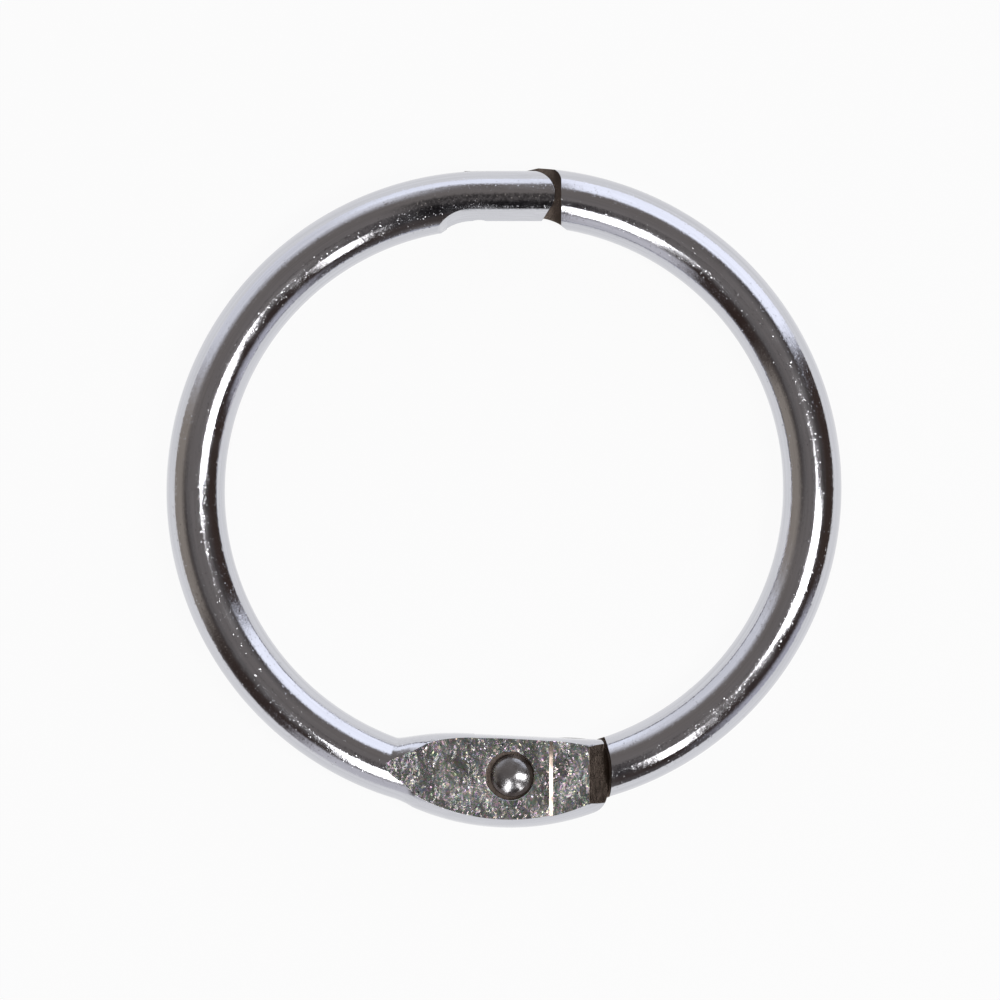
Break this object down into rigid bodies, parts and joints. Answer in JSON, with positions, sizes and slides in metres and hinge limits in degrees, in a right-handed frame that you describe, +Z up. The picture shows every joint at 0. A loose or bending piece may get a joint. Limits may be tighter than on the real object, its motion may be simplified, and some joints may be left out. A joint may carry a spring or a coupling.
{
  "type": "hinged binder ring",
  "caption": "Round binder ring of bent plated wire: half rings riveted together at a flat lap hinge, closing on a lap snap, to hold punched sheets.",
  "frame": {"origin": "under the middle of the closed ring, on the surface it lies on", "axes": "+Z up through the ring, towards its front; +Y towards the snap; +X towards the rear half's side"},
  "size_m": [0.03, 0.0293, 0.0026],
  "materials": {
    "front_wire": "bright nickel plate on bent steel wire, matt and glittering where the ear is pressed",
    "rear_wire": "bright nickel plate on bent steel wire, matt and glittering where the ear is pressed",
    "rivet": "bright nickel plate on a steel rivet"
  },
  "bodies": {
    "rear_half": {"rear_half_ring": "rear_wire", "hinge_rivet": "rivet"},
    "front_half": {"front_half_ring": "front_wire"}
  },
  "joints": [
    {"name": "ring_hinge", "type": "hinge", "parent": "rear_half", "child": "front_half", "pos_m": [0.00027, -0.0123, 0.0013], "axis": [0, 0, 1], "range_deg": [0, 120]}
  ]
}
